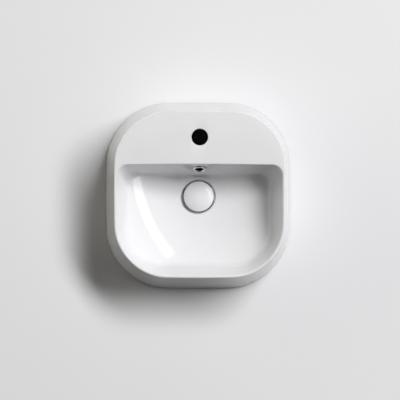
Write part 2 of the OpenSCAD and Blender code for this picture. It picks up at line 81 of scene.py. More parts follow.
# Levels of the waste's stack and of the pushed-down cap
FLANGE_Z, CROWN_Z, CARRIER_Z, CAP_Z = 44.5, 46.9, 48.2, 49.4
STEM_TOP_Z, LOCKNUT_Z, LOCKNUT_TOP_Z = 47.8, 40, 43.2
GASKET_Z, WASHER_Z, NUT_Z, TAIL_Z, GROOVE = 21, 20, 13, 1, 1.5
BAR_Z, BAR_H, HOUSING_Z, HEX_Z, NECK_Z, GUIDE_Z, GUIDE_TOP_Z = 11, 8, 5, 19, 22.5, 31, 38
INDEX_Z, INDEX_H, TEETH, TOOTH_H = 18, 4.7, 8, 1.4
SPRING_Z, SPRING_H, SPRING_R, SPRING_TURNS, WIRE_R = 7, 9, 4.65, 6, 0.45
CAP_R, CAP_DOME_R, CAP_EDGE_H, CAP_ROUND = 32.2, 78, 3.5, 1.6
STEM_R, HUB_R, RING_BORE = 3, 11.45, TAIL_R + 0.3
# Pitch and depth of the G 1 1/4 pipe thread
PIPE_PITCH, PIPE_DEPTH = 2.309, 1.35
# How far a cutting tool reaches past what it cuts, and the angle up to which an edge is shaded smooth
OVER, SMOOTH_BELOW = 3, 32
# Points round each corner of the body's outline, and along its back, left, front and right side
CORNER_STEPS, RUN_STEPS = 40, (88, 40, 88, 40)


def smoothed(mesh, below):
    """Smooth shading, except over edges that are sharper than an angle in degrees."""
    mesh.polygons.foreach_set("use_smooth", np.ones(len(mesh.polygons), bool))
    mesh.set_sharp_from_angle(angle=math.radians(below))


def mesh_piece(name, points, faces, ids=None, smooth_below=SMOOTH_BELOW):
    """A mesh from points in millimetres and faces; ids holds each face's material number."""
    mesh = bpy.data.meshes.new(name)
    mesh.from_pydata((np.asarray(points, float).reshape(-1, 3) * 0.001).tolist(), [], faces)
    if ids is not None:
        mesh.polygons.foreach_set("material_index", np.asarray(ids, np.int32))
    smoothed(mesh, smooth_below)
    mesh.validate()
    piece = bpy.data.objects.new(name, mesh)
    bpy.context.scene.collection.objects.link(piece)
    return piece


def grid_faces(rows, columns, closed=False):
    """Quads of a grid whose columns close on themselves, and whose rows do too if closed.

    A face looks outwards where columns run anticlockwise seen from above and rows climb the outside.
    """
    k, n = np.meshgrid(np.arange(rows if closed else rows - 1), np.arange(columns), indexing="ij")
    up, on = (k + 1) % rows, (n + 1) % columns
    corners = [k * columns + n, k * columns + on, up * columns + on, up * columns + n]
    return np.stack(corners, -1).reshape(-1, 4)


def skinned(name, rings, ids=None, smooth_below=SMOOTH_BELOW):
    """A closed solid from a stack of rings (rows, points, xyz), with a flat face over each end."""
    rows, columns = rings.shape[:2]
    faces = grid_faces(rows, columns).tolist()
    ends = [list(range(columns))[::-1], list(range((rows - 1) * columns, rows * columns))]
    if ids is not None:
        ids = np.concatenate([np.repeat(ids, columns), [ids[0], ids[-1]]])
    return mesh_piece(name, rings, faces + ends, ids, smooth_below)


def rounded(corners, steps=6):
    """A profile through corners (r, z, reach): each corner is an arc that starts and ends one reach away from it.

    The arc's centre lies on the line that halves the corner, and its points are found by turning the vector to the
    start into the vector to the end.
    """
    points = []
    spots = np.array([c[:2] for c in corners], float)
    for i, (spot, reach) in enumerate(zip(spots, [c[2] for c in corners])):
        if reach == 0:
            points.append(spot)
            continue
        before, after = spots[i - 1] - spot, spots[(i + 1) % len(spots)] - spot
        before, after = before / np.linalg.norm(before), after / np.linalg.norm(after)
        middle = (before + after) / np.linalg.norm(before + after)
        centre = spot + middle * reach / (middle @ before)
        start, end = spot + before * reach - centre, spot + after * reach - centre
        sweep = np.pi - 2 * np.arccos(middle @ before)
        t = np.linspace(0, 1, steps + 1)[:, None]
        points.extend(centre + (np.sin((1 - t) * sweep) * start + np.sin(t * sweep) * end) / np.sin(sweep))
    return np.array(points)


def turned(name, profile, segments=144, form=None, centre=(0, WASTE_Y), smooth_below=SMOOTH_BELOW):
    """A lathe form: the profile (r, z) goes once round the centre, up the outside and down the inside.

    A profile that starts on the axis ends on it too, and there each end is one point. form(angle, r, z) gives back
    a changed r and z, which cuts threads, flats and teeth.
    """
    profile = np.asarray(profile, float)
    solid = profile[0, 0] == 0
    rows = profile[1:-1] if solid else profile
    angle = np.linspace(0, 2 * np.pi, segments, endpoint=False)
    r, z = np.repeat(rows[:, :1], segments, 1), np.repeat(rows[:, 1:], segments, 1)
    if form is not None:
        r, z = form(angle[None, :], r, z)
    ring_points = np.stack([centre[0] + r * np.cos(angle), centre[1] + r * np.sin(angle), z], -1)
    faces = grid_faces(len(rows), segments, closed=not solid).tolist()
    points = ring_points.reshape(-1, 3)
    if solid:
        here = np.arange(segments)
        on, last, low = np.roll(here, -1), (len(rows) - 1) * segments, np.full(segments, len(points))
        points = np.vstack([points, [[*centre, profile[0, 1]], [*centre, profile[-1, 1]]]])
        faces += np.column_stack([low, on, here]).tolist()
        faces += np.column_stack([low + 1, last + here, last + on]).tolist()
    return mesh_piece(name, points, faces, None, smooth_below)


def carve(piece, tool, operation="DIFFERENCE"):
    """Joins the tool to the piece or cuts it away, and removes the tool.

    The result keeps each face's material number, but not the empty material slot that the cut leaves.
    """
    cut = piece.modifiers.new("cut", "BOOLEAN")
    cut.operation, cut.object, cut.solver = operation, tool, "MANIFOLD"
    mesh = bpy.data.meshes.new_from_object(piece.evaluated_get(bpy.context.evaluated_depsgraph_get()))
    numbers = np.zeros(len(mesh.polygons), np.int32)
    mesh.polygons.foreach_get("material_index", numbers)
    mesh.materials.clear()
    mesh.polygons.foreach_set("material_index", numbers)
    piece.modifiers.clear()
    piece.data = mesh
    bpy.data.objects.remove(tool)


# The outline of the body and of the bowl

def outline_stations(corner_steps, run_steps):
    """Where the outline's points lie, anticlockwise from the right-hand end of the back right corner.

    Rows: the corner (0 to 3), the share of its arc, and the share of the straight run after it.
    """
    parts = []
    for corner, steps in enumerate(run_steps):
        arc, run = np.linspace(0, 1, corner_steps + 1), np.linspace(0, 1, steps + 1)[1:-1]
        parts.append(np.stack([np.full_like(arc, corner), arc, np.zeros_like(arc)]))
        parts.append(np.stack([np.full_like(run, corner), np.ones_like(run), run]))
    return np.hstack(parts)


CORNER, SHARE, RUN = outline_stations(CORNER_STEPS, RUN_STEPS)


def corner_point(corner, share, sizes):
    """Points on the arcs of a rounded outline: arc centre plus radius times (cos, sin) of the arc's angle."""
    hw, back, front, back_r, front_r = sizes
    at_back = corner < 2
    r = np.where(at_back, back_r, front_r)
    angle = np.pi / 2 * (corner + share)
    side = np.where((corner == 0) | (corner == 3), 1, -1)
    x = side * (hw - r) + r * np.cos(angle)
    y = np.where(at_back, back - r, front + r) + r * np.sin(angle)
    return np.stack([x, y], -1)


def outline(sizes, bow_hw, bow_hd):
    """The rounded outline at every station, with its sides bowed out.

    A run's points lie on the line from one arc's end to the next arc's start. Then each point moves in with the
    square of its distance along its side, so the middle of a side stands out furthest.
    """
    here = corner_point(CORNER, SHARE, sizes)
    following = corner_point((CORNER + 1) % 4, 0, sizes)
    p = here + (following - here) * RUN[:, None]
    x, y = p[..., 0], p[..., 1]
    return np.stack([x * (1 - BOW * (y / bow_hd) ** 2), y * (1 - BOW * (x / bow_hw) ** 2)], -1)


def column(values):
    """Levels as a column, so that they spread over the stations."""
    values = np.asarray(values, float)
    return values[:, None] if values.ndim == 1 else values


def outer_sizes(z, inset):
    """Half width, half depth and corner radius of the outer wall, which leans in steadily from foot to rim."""
    lean = (z - FOOT_ROUND) / (HEIGHT - RIM_ROUND - FOOT_ROUND)
    hw, hd = (base / 2 + (rim - base) / 2 * lean for base, rim in zip(BASE[:2], RIM[:2]))
    r = BASE[2] + (RIM[2] - BASE[2]) * lean - inset
    return hw, hd, r


def outer_wall(z, inset):
    """The outer wall's outline at each level, moved in by the inset."""
    z, inset = column(z), column(inset) if np.ndim(inset) else inset
    hw, hd, r = outer_sizes(z, inset)
    return outline((hw - inset, hd - inset, inset - hd, r, r), hw, hd)


def bowl_sizes(depth, outset):
    """The bowl's outline at a depth: side and front lean in at one draft, the straight back at another."""
    side = depth * SIDE_DRAFT
    return (
        BOWL_HW + outset - side, DECK_EDGE + outset - depth * BACK_DRAFT, BOWL_FRONT - outset + side,
        BOWL_BACK_R + outset, BOWL_FRONT_R + outset - side,
    )


def bowl_wall(depth, outset):
    """The bowl's outline at each depth, moved out by the outset."""
    depth, outset = column(depth), column(outset) if np.ndim(outset) else outset
    return outline(bowl_sizes(depth, outset), RIM[0] / 2, RIM[1] / 2)


def back_wall_y(z):
    """Where the bowl's back wall stands at a level, in the middle of the basin."""
    return DECK_EDGE - (HEIGHT - z) * BACK_DRAFT


def dish_z(p, drop):
    """The floor's level: a steady slope and a parabola, both from the flat round the waste outwards."""
    run = np.maximum(0, np.hypot(p[..., 0], p[..., 1] - WASTE_Y) - FLAT_R)
    return FLOOR_Z - drop + run * FLOOR_FALL + run**2 / (2 * DISH_R)


def with_z(xy, z):
    """Joins plan points and their levels."""
    return np.concatenate([xy, np.broadcast_to(np.asarray(z, float), xy.shape[:-1])[..., None]], -1)


def mix(a, b, t):
    """The point a share t of the way from a to b."""
    return a + (b - a) * t


def bowl_rows(outset, drop, start, on_wall, on_curve, on_floor):
    """The bowl from its rim to the waste, as rows of stations: a straight wall, a curved foot and the floor.

    The foot is where wall and floor would meet, found by repeated correction. A quadratic curve with its middle
    point there joins the wall, one reach above, to the floor, one reach towards the waste.
    """
    deep = np.full((1, len(CORNER)), float(BOWL_DEPTH))
    for _ in range(12):
        deep = HEIGHT - dish_z(bowl_wall(deep, outset), drop)
    foot = with_z(bowl_wall(deep, outset), HEIGHT - deep)
    way_out = foot[..., :2] - [0, WASTE_Y]
    distance = np.linalg.norm(way_out, axis=-1, keepdims=True)
    way, reach = distance - FLAT_R, np.minimum(FOOT_CURVE, 0.85 * (distance - FLAT_R))
    high_depth = deep - reach[..., 0]
    wall_depth = mix(np.broadcast_to(start, deep.shape), high_depth, np.linspace(0, 1, on_wall)[:, None])
    wall = with_z(bowl_wall(wall_depth, outset), HEIGHT - wall_depth)
    low_xy = foot[..., :2] - way_out / distance * reach
    low, high = with_z(low_xy, dish_z(low_xy, drop)), wall[-1:]
    t = np.linspace(0, 1, on_curve)[1:, None, None]
    curve = (1 - t) ** 2 * high + 2 * t * (1 - t) * foot + t**2 * low
    end_xy = foot[..., :2] - way_out / distance * way
    floor_xy = mix(low_xy, end_xy, np.linspace(0, 1, on_floor)[1:, None, None])
    return np.concatenate([wall, curve, with_z(floor_xy, dish_z(floor_xy, drop))])


def outline_gap(p, hw, back, front, back_r, front_r):
    """How far a point lies outside a rounded outline; negative inside."""
    mid = (back + front) / 2
    r = np.where(p[..., 1] > mid, back_r, front_r)
    qx, qy = np.abs(p[..., 0]) - hw + r, np.abs(p[..., 1] - mid) - (back - front) / 2 + r
    return np.hypot(np.maximum(qx, 0), np.maximum(qy, 0)) + np.minimum(np.maximum(qx, qy), 0) - r


def crest_level(on_bowl):
    """Where the hollow between bowl and skirt gets as narrow as its crest, by halving the range of levels."""
    low, high = np.full((1, len(CORNER)), float(FLOOR_Z)), np.full((1, len(CORNER)), float(DECK_UNDER_Z))

    def roomy(z):
        if on_bowl:
            hw, hd, r = outer_sizes(z, SKIRT_WALL)
            p = bowl_wall(HEIGHT - z, BOWL_WALL)
            return -outline_gap(p, hw - SKIRT_WALL, hd - SKIRT_WALL, SKIRT_WALL - hd, r, r) >= CREST_GAP
        return outline_gap(outer_wall(z, SKIRT_WALL), *bowl_sizes(HEIGHT - z, BOWL_WALL)) >= CREST_GAP

    open_at_top = roomy(high)
    for _ in range(16):
        middle = (low + high) / 2
        fits = roomy(middle)
        low, high = np.where(fits, middle, low), np.where(fits, high, middle)
    return np.where(open_at_top, float(DECK_UNDER_Z), low)


def body_rings():
    """Rows of stations from under the bowl to the foot, up the skirt, over the rim and down the bowl.

    They are put together the other way round, and turned about at the end with each row's finish.
    The rim's and the foot's edges are quarter circles. Finish 0 is glazed and 1 is bare fired clay.
    """
    bowl = bowl_rows(0, 0, RIM_ROUND, on_wall=26, on_curve=16, on_floor=30)[::-1]
    a = np.linspace(np.pi / 2, 0, 8)[1:, None]
    inset, z = RIM_ROUND * (1 - np.sin(a)), HEIGHT - RIM_ROUND * (1 - np.cos(a))
    inner_edge = with_z(bowl_wall(0 * a, inset), z)
    outer_edge = with_z(outer_wall(HEIGHT - RIM_ROUND + 0 * a, inset), z)[::-1]
    levels = np.linspace(HEIGHT - RIM_ROUND, FOOT_ROUND, 30)[:, None]
    skirt = with_z(outer_wall(levels, 0), levels)
    a = np.linspace(0, np.pi / 2, 7)[1:, None]
    foot = with_z(outer_wall(FOOT_ROUND + 0 * a, FOOT_ROUND * (1 - np.cos(a))), FOOT_ROUND * (1 - np.sin(a)))
    inner_foot = with_z(outer_wall([0.0, 0.35, 1.0], column([SKIRT_WALL - 1, SKIRT_WALL - 0.3, SKIRT_WALL])),
                        column([0, 0.3, 1.0]))
    skirt_top, bowl_top = crest_level(False), crest_level(True)
    inner_z = mix(1.0, skirt_top, np.linspace(0, 1, 12)[1:, None])
    inner_skirt = with_z(outer_wall(inner_z, SKIRT_WALL), inner_z)
    under = bowl_rows(BOWL_WALL, FLOOR_WALL, HEIGHT - bowl_top, on_wall=12, on_curve=9, on_floor=14)
    parts = [bowl, inner_edge, outer_edge, skirt, foot, inner_foot, inner_skirt, under]
    finish = np.repeat([0, 0, 0, 0, 1, 1, 1, 1], [len(p) for p in parts])
    return np.concatenate(parts)[::-1], finish[:-1][::-1]


def across(name, side, width):
    """A block with the given side view (y, z), as wide as said, across the middle of the basin."""
    side = np.asarray(side, float)[::-1]
    rings = [np.column_stack([np.full(len(side), x), side]) for x in (-width / 2, width / 2)]
    return skinned(name, np.array(rings))


def channel_side(outset, deep, low_z, roof_z, top_z):
    """Side view of the overflow channel: down behind the back wall, then forward under the floor."""
    # The near end lies inside the gallery round the waste
    bend_z, near_y = GALLERY_Z + CHANNEL_BEND, WASTE_Y + GALLERY_R - 4.5
    return [
        (back_wall_y(top_z) + outset, top_z), (back_wall_y(top_z) + outset + deep, top_z),
        (back_wall_y(bend_z) + outset + deep, bend_z),
        (back_wall_y(GALLERY_Z) + outset + deep - CHANNEL_BEND, low_z),
        (near_y, low_z), (near_y, roof_z), (back_wall_y(roof_z) + outset, roof_z),
    ]


# The overflow's own frame: its mouth looks forward and up
OVERFLOW_SINK = COLLAR_R * math.sin(OVERFLOW_TILT - math.atan(BACK_DRAFT)) + 0.3
OVERFLOW_SEAT = np.array([
    0, back_wall_y(OVERFLOW_Z) + OVERFLOW_SINK * math.cos(math.atan(BACK_DRAFT)), OVERFLOW_Z,
])
OVERFLOW_OUT = np.array([0, -math.cos(OVERFLOW_TILT), math.sin(OVERFLOW_TILT)])
OVERFLOW_UP = np.array([0, math.sin(OVERFLOW_TILT), math.cos(OVERFLOW_TILT)])
OVERFLOW_RIGHT = np.array([1.0, 0, 0])


def in_overflow(piece):
    """Moves a form that was turned about Z at the origin onto the overflow's axis."""
    mesh = piece.data
    points = np.empty(len(mesh.vertices) * 3)
    mesh.vertices.foreach_get("co", points)
    x, y, z = points.reshape(-1, 3).T * 1000
    turn = np.outer(x, OVERFLOW_RIGHT) + np.outer(y, OVERFLOW_UP) + np.outer(z, OVERFLOW_OUT)
    mesh.vertices.foreach_set("co", ((turn + OVERFLOW_SEAT) / 1000).ravel())
    mesh.update()
    return piece


def recess_tool():
    """Cuts the collar's recess with a softened edge, as glaze leaves it.

    The recess is a tilted cylinder. Its edge is where each of its lines meets the plane of the back wall. From
    there a quadratic curve rounds the edge, from the wall's face into the recess.
    """
    soft, radius = 1.6, COLLAR_R + 0.3
    angle = np.linspace(0, 2 * np.pi, 128, endpoint=False)[:, None]
    spoke = np.cos(angle) * OVERFLOW_RIGHT + np.sin(angle) * OVERFLOW_UP
    seat = OVERFLOW_SEAT + radius * spoke
    tilt = math.atan(BACK_DRAFT)
    wall_out = np.array([0, -math.cos(tilt), math.sin(tilt)])
    on_wall = np.array([0, back_wall_y(OVERFLOW_Z), OVERFLOW_Z])
    reach = ((on_wall - seat) @ wall_out / (OVERFLOW_OUT @ wall_out))[:, None]
    edge = seat + reach * OVERFLOW_OUT
    outward = spoke - (spoke @ wall_out)[:, None] * wall_out
    outward /= np.linalg.norm(outward, axis=1, keepdims=True)
    start, end = edge + outward * soft + wall_out * 0.04, edge - OVERFLOW_OUT * soft
    t = np.linspace(0, 1, 8)[:, None, None]
    curve = (1 - t) ** 2 * start + 2 * t * (1 - t) * edge + t**2 * end
    rings = np.concatenate([(start + outward * 0.5 + wall_out * 3)[None], curve, seat[None]])
    return skinned("recess_tool", rings[::-1])


def glazed_body():
    """The one-piece casting: the ring-stacked skin, its waste boss and overflow casing, and every opening."""
    rings, finish = body_rings()
    body = skinned("glazed_body", rings, finish)
    in_wall = BOWL_WALL / 2
    casing = channel_side(in_wall, in_wall + 1 + CHANNEL_GAP + CHANNEL_WALL, BOSS_Z, FLOOR_Z - FLOOR_WALL / 2,
                          DECK_UNDER_Z + 1)
    fillet_r, fillet_z, boss_top = BOSS_R + 8, FLOOR_Z - FLOOR_WALL, FLOOR_Z - FLOOR_WALL / 2
    boss = rounded([(0, BOSS_Z, 0), (BOSS_R, BOSS_Z, 2), (BOSS_R, fillet_z, 5), (fillet_r, fillet_z + 0.8, 0),
                    (fillet_r, boss_top, 0), (0, boss_top, 0)])
    joined = [across("casing", casing, CHANNEL_W + 2 * CHANNEL_WALL), turned("boss", boss)]
    channel = channel_side(BOWL_WALL + 1, CHANNEL_GAP, GALLERY_Z, GALLERY_Z + GALLERY_H,
                           OVERFLOW_Z + CHANNEL_RISE)
    gallery = rounded([(0, GALLERY_Z, 0), (GALLERY_R, GALLERY_Z, 1), (GALLERY_R, GALLERY_Z + GALLERY_H, 1),
                       (0, GALLERY_Z + GALLERY_H, 0)])
    mouth_r = SLEEVE_R + 0.1
    mouth = [(0, -SLEEVE_L - OVER), (mouth_r, -SLEEVE_L - OVER), (mouth_r, 1), (0, 1)]
    # Both holes flare where they leave the ceramic, so that their edges come out soft
    hole_r, seat_r, flare_r = 23, FLANGE_R + 1, FLANGE_R + 2.6
    waste = rounded([
        (0, BOSS_Z - OVER, 0), (hole_r + 2, BOSS_Z - OVER, 0), (hole_r + 2, BOSS_Z - 0.1, 0),
        (hole_r, BOSS_Z + 0.2, 1), (hole_r, SEAT_Z, 1), (seat_r, SEAT_Z, 0.5), (seat_r, FLOOR_Z - 0.03, 1),
        (flare_r, FLOOR_Z + 0.1, 0), (flare_r, FLOOR_Z + OVER, 0), (0, FLOOR_Z + OVER, 0),
    ])
    flare_r = TAP_R + 2.5
    tap = rounded([
        (0, DECK_UNDER_Z - OVER, 0), (flare_r, DECK_UNDER_Z - OVER, 0), (flare_r, DECK_UNDER_Z - 0.15, 0),
        (TAP_R, DECK_UNDER_Z + 0.05, 1), (TAP_R, HEIGHT - 0.05, 1.2), (flare_r, HEIGHT + 0.15, 0),
        (flare_r, HEIGHT + OVER, 0), (0, HEIGHT + OVER, 0),
    ])
    cut = [
        across("channel", channel, CHANNEL_W), turned("gallery", gallery), recess_tool(),
        in_overflow(turned("mouth", mouth, centre=(0, 0))), turned("waste_hole", waste),
        turned("tap_hole", tap, centre=(0, TAP_Y)),
    ]
    for tool in joined:
        tool.data.polygons.foreach_set("material_index", np.ones(len(tool.data.polygons), np.int32))
        carve(body, tool, "UNION")
    for tool in cut:
        carve(body, tool)
    smoothed(body.data, SMOOTH_BELOW)
    return body


# Forms of the turned pieces

def thread(bands):
    """Cuts screw threads: bands holds (low, high, outer radius, pitch, depth) for each.

    The groove is a triangular wave of level over pitch less the angle's share of a turn, cut off at both ends to
    leave narrow crests and roots. It fades out over half a pitch at the ends of its band.
    """
    def form(angle, r, z):
        for low, high, outer_r, pitch, depth in bands:
            wave = 1 - np.abs((z / pitch - angle / (2 * np.pi)) % 1 * 2 - 1)
            fade = np.clip((z - low) / pitch * 2, 0, 1) * np.clip((high - z) / pitch * 2, 0, 1)
            groove = np.clip(1.25 * wave - 0.125, 0, 1) * fade
            r = np.where(np.abs(r - outer_r) < 0.01, r - depth * groove, r)
        return r, z

    return form


def flats(across_flats, low, high):
    """Cuts a hexagon: between two levels no point lies further out than the nearest flat, across_flats / 2."""
    def form(angle, r, z):
        flat = across_flats / 2 / np.cos(angle % (np.pi / 3) - np.pi / 6)
        return np.where((z >= low) & (z <= high), np.minimum(r, flat), r), z

    return form


def teeth(root_z, top_z, turn):
    """Cuts a crown of saw teeth: the end face falls steadily from top_z to root_z over each tooth."""
    def form(angle, r, z):
        share = (turn * angle * TEETH / (2 * np.pi) + 0.01) % 1
        return r, np.where(np.abs(z - top_z) < 0.01, top_z + (root_z - top_z) * share, z)

    return form


def both(*forms):
    """One form after another."""
    def form(angle, r, z):
        for step in forms:
            r, z = step(angle, r, z)
        return r, z

    return form


def wall_rows(r, low, high, step):
    """Points of a straight wall from one level to another, close enough together for a thread."""
    z = np.linspace(low, high, max(2, int(abs(high - low) / step)))
    return np.column_stack([np.full_like(z, r), z])


def tube_ring(inner_r, outer_r, low, high, soft):
    """Profile of a ring with softened edges."""
    return rounded([(outer_r, low, soft), (outer_r, high, soft), (inner_r, high, soft), (inner_r, low, soft)], 5)


def overflow_ring():
    """Bulging chrome ring with the spigot behind it."""
    bulge = (COLLAR_R - MOUTH_R) / 2
    profile = rounded([
        (SPIGOT_R, -SPIGOT_L, 0.4), (SPIGOT_R, 0, 0), (COLLAR_R, 0, 0.5), (COLLAR_R, COLLAR_H, bulge - 0.01),
        (MOUTH_R, COLLAR_H, bulge - 0.01), (MOUTH_R, -SPIGOT_L, 0.4),
    ], 14)
    return in_overflow(turned("chrome_overflow_ring", profile, 160, centre=(0, 0)))


def barbed_sleeve():
    """Black bush with three barbs, whose inner end is slit so that it can be pressed in."""
    bore, barb, step = SPIGOT_R + 0.1, 0.25, SLEEVE_L / 3
    outside = [(SLEEVE_R - barb, 0)]
    for k in range(3):
        outside += [(SLEEVE_R, -step * (k + 0.3)), (SLEEVE_R - barb, -step * (k + 0.8))]
    outside += [(SLEEVE_R - barb, -SLEEVE_L), (bore, -SLEEVE_L), (bore, 0)]
    piece = turned("barbed_sleeve", outside[::-1], 96, centre=(0, 0))
    for k in range(3):
        a = math.pi / 3 * k
        along, side = np.array([math.cos(a), math.sin(a)]) * 20, np.array([-math.sin(a), math.cos(a)]) * 0.6
        corners = np.array([-along - side, along - side, along + side, -along + side])
        rings = [np.column_stack([corners, np.full(4, z)]) for z in (-SLEEVE_L - 1, -SLEEVE_L + 1.8)]
        carve(piece, skinned("slit", np.array(rings)))
    return in_overflow(piece)


def domed_cap():
    """Ceramic cap: a bevelled foot, a straight edge, and a rounding that runs into the dome."""
    edge_r = CAP_R - CAP_ROUND
    meet = math.acos(edge_r / (CAP_DOME_R - CAP_ROUND))
    dome_z = CAP_EDGE_H - (CAP_DOME_R - CAP_ROUND) * math.sin(meet)
    a = np.linspace(0, meet, 12)
    rim = np.column_stack([edge_r + CAP_ROUND * np.cos(a), CAP_EDGE_H + CAP_ROUND * np.sin(a)])
    a = np.linspace(meet, np.pi / 2, 40)[1:]
    dome = np.column_stack([CAP_DOME_R * np.cos(a), CAP_DOME_R * np.sin(a) + dome_z])
    dome[-1, 0] = 0
    foot = rounded([(0, 0, 0), (CAP_R, 0, 0.6), (CAP_R, CAP_EDGE_H, 0), (0, CAP_EDGE_H, 0)])[:-2]
    return turned("domed_cap", np.concatenate([foot, rim, dome]) + [0, CAP_Z], 192)


def cap_dish():
    """Chrome dish under the cap: boss for the plunger, plate, and low rim with a rounded top."""
    bore, boss, pad, inner_r, outer_r, pad_z = STEM_R + 0.05, 6, 20.9, CAP_R + 0.1, CAP_R + 1.1, CARRIER_Z - 1.4
    profile = rounded([
        (0, STEM_TOP_Z + 0.2, 0), (bore, STEM_TOP_Z + 0.2, 0), (bore, LOCKNUT_TOP_Z, 0.2), (boss, LOCKNUT_TOP_Z, 0.6),
        (boss, pad_z, 0.8), (pad, pad_z, 0.3), (pad, CARRIER_Z, 0.3), (outer_r, CARRIER_Z, 0.9),
        (outer_r, CAP_Z + 1.2, 0.45), (inner_r, CAP_Z + 1.2, 0.45), (inner_r, CAP_Z, 0.3), (0, CAP_Z, 0),
    ])
    return turned("cap_dish", profile, 192)


def waste_flange():
    """Flange with a rounded rim and a shallow dish, slotted tube, cross bar and G 1 1/4 threaded tail."""
    crest_r, edge_z, throat, sunk = FLANGE_R - 3.4, FLANGE_Z + 0.7, 2, 1.6
    arms, slots, slot_hw, slot_hh = 3, 4, 9, 3
    a = np.linspace(0, np.pi / 2, 16)
    rim = np.column_stack([mix(crest_r, FLANGE_R, np.cos(a)), mix(edge_z, CROWN_Z, np.sin(a))])
    t = np.linspace(0, 1, 14)[1:]
    dish = np.column_stack([mix(crest_r, TAIL_BORE + throat, t), CROWN_Z - sunk * t**2])
    a = np.linspace(0, np.pi / 2, 10)[1:]
    mouth = np.column_stack([TAIL_BORE + throat * (1 - np.sin(a)), CROWN_Z - sunk - throat * (1 - np.cos(a))])
    groove_z, relief, thread_top, row = NUT_Z - GROOVE, 0.5, 24, 0.15
    outside = np.concatenate([
        rounded([(TAIL_BORE, TAIL_Z, 0.4), (TAIL_R - 0.8, TAIL_Z, 0), (TAIL_R, TAIL_Z + 0.8, 0),
                 (TAIL_BORE, TAIL_Z + 1, 0)], 3)[:-1],
        wall_rows(TAIL_R, TAIL_Z + 0.8, groove_z, row)[1:],
        [(TAIL_R - relief, groove_z + relief / 2), (TAIL_R - relief, NUT_Z - relief / 2)],
        wall_rows(TAIL_R, NUT_Z, thread_top, row),
        [(TAIL_R, FLANGE_Z), (FLANGE_R - 0.35, FLANGE_Z), (FLANGE_R, FLANGE_Z + 0.35)],
    ])
    form = thread([(TAIL_Z + 0.8, groove_z, TAIL_R, PIPE_PITCH, PIPE_DEPTH),
                   (NUT_Z, thread_top, TAIL_R, PIPE_PITCH, PIPE_DEPTH)])
    piece = turned("threaded_waste", np.concatenate([outside, rim, dish, mouth]), 216, form)
    hub = rounded([(0, BAR_Z, 0), (HUB_R, BAR_Z, 0.6), (HUB_R, BAR_Z + BAR_H, 0.6), (0, BAR_Z + BAR_H, 0)])
    joined = [turned("hub", hub, 96)]
    for k in range(arms):
        a = math.pi / 2 + k * 2 * math.pi / arms
        out, side = np.array([math.cos(a), math.sin(a)]), np.array([-math.sin(a), math.cos(a)]) * 1.5
        near, far = out * (HUB_R - 1), out * (TAIL_BORE + 0.8)
        ends = np.array([near - side, far - side, far + side, near + side]) + [0, WASTE_Y]
        rings = [np.column_stack([ends, np.full(4, z)]) for z in (BAR_Z + 0.5, BAR_Z + BAR_H - 0.5)]
        joined.append(skinned("arm", np.array(rings)))
    for tool in joined:
        carve(piece, tool, "UNION")
    low, high = BAR_Z - OVER, BAR_Z + BAR_H + OVER
    bore = [(0, low), (8, low), (8, high), (0, high)]
    carve(piece, turned("hub_bore", bore, 96))
    for k in range(slots):
        a = math.pi / 4 + k * 2 * math.pi / slots
        out, side = np.array([math.cos(a), math.sin(a)]), np.array([-math.sin(a), math.cos(a)])
        t = np.linspace(0, 2 * np.pi, 48, endpoint=False)
        across_slot = slot_hw * np.sign(np.cos(t)) * np.abs(np.cos(t)) ** 0.4
        up_slot = GALLERY_Z + GALLERY_H / 2 + slot_hh * np.sign(np.sin(t)) * np.abs(np.sin(t)) ** 0.7
        rings = [np.column_stack([out * reach + side * across_slot[:, None] + [0, WASTE_Y], up_slot])
                 for reach in (12.0, 25.0)]
        carve(piece, skinned("slot_cutter", np.array(rings)))
    smoothed(piece.data, SMOOTH_BELOW)
    return piece


def threaded_housing():
    """Barrel of the click cartridge: M16 foot, hexagon with chamfered corners, slim neck and drain hole."""
    drain, bore, neck, foot, across_flats, thread_top = 1.2, 5.6, 7.2, 7.95, 20, HEX_Z - 1
    face, hex_r = across_flats / 2 + 0.1, across_flats / math.sqrt(3)
    outside = np.concatenate([
        [(drain, HOUSING_Z), (neck, HOUSING_Z), (foot, HOUSING_Z + 0.7)],
        wall_rows(foot, HOUSING_Z + 0.8, thread_top, 0.12),
        [(neck, thread_top + 0.3), (neck, HEX_Z), (face, HEX_Z)], wall_rows(hex_r, HEX_Z + 0.6, NECK_Z - 0.6, 0.3),
        [(face, NECK_Z), (neck, NECK_Z), (neck, GUIDE_Z + 4), (bore, GUIDE_Z + 4), (bore, SPRING_Z),
         (drain, SPRING_Z)],
    ])
    form = both(thread([(HOUSING_Z + 0.7, thread_top, foot, 1.0, 0.6)]), flats(across_flats, HEX_Z, NECK_Z))
    return turned("threaded_housing", outside, 144, form)


def threaded_plunger():
    """Pilot inside the spring, foot on top of it, and the stem, whose upper end is an M6 thread."""
    pilot, foot, pilot_z, foot_z, foot_top, thread_z = 2.5, 5.2, SPRING_Z + 3, SPRING_Z + SPRING_H, INDEX_Z - 0.1, 39
    profile = np.concatenate([
        [(0, pilot_z), (pilot - 0.4, pilot_z), (pilot, pilot_z + 0.4), (pilot, foot_z), (foot - 0.4, foot_z),
         (foot, foot_z + 0.4), (foot, foot_top - 0.4), (foot - 0.4, foot_top), (STEM_R, foot_top),
         (STEM_R, thread_z)],
        wall_rows(STEM_R, thread_z + 0.2, STEM_TOP_Z - 0.5, 0.12), [(STEM_R - 0.5, STEM_TOP_Z), (0, STEM_TOP_Z)],
    ])
    return turned("threaded_plunger", profile, 96, thread([(thread_z, STEM_TOP_Z - 0.3, STEM_R, 1.0, 0.5)]))


